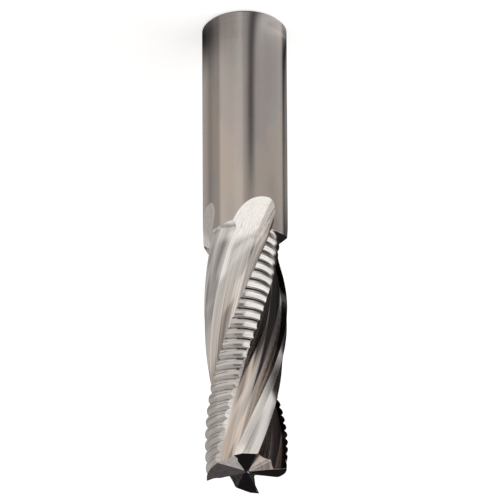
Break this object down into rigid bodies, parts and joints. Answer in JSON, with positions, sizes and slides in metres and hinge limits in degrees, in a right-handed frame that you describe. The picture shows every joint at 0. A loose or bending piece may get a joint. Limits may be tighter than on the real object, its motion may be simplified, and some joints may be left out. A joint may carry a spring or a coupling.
{
  "type": "spiral router bit",
  "caption": "Solid carbide spiral router bit with a plain cylindrical shank, helical flutes, smooth and ribbed cutting teeth and a notched end for plunging.",
  "frame": {"origin": "centre of the flat end of the shank", "axes": "+Z along the bit's axis from the shank to the cutting tip; +X is 17.9 degrees behind one ribbed tooth's corner at the tip"},
  "size_m": [0.02, 0.02, 0.12],
  "materials": {
    "ground_carbide": "satin"
  },
  "bodies": {
    "root": {"router_bit": "ground_carbide"}
  },
  "joints": []
}
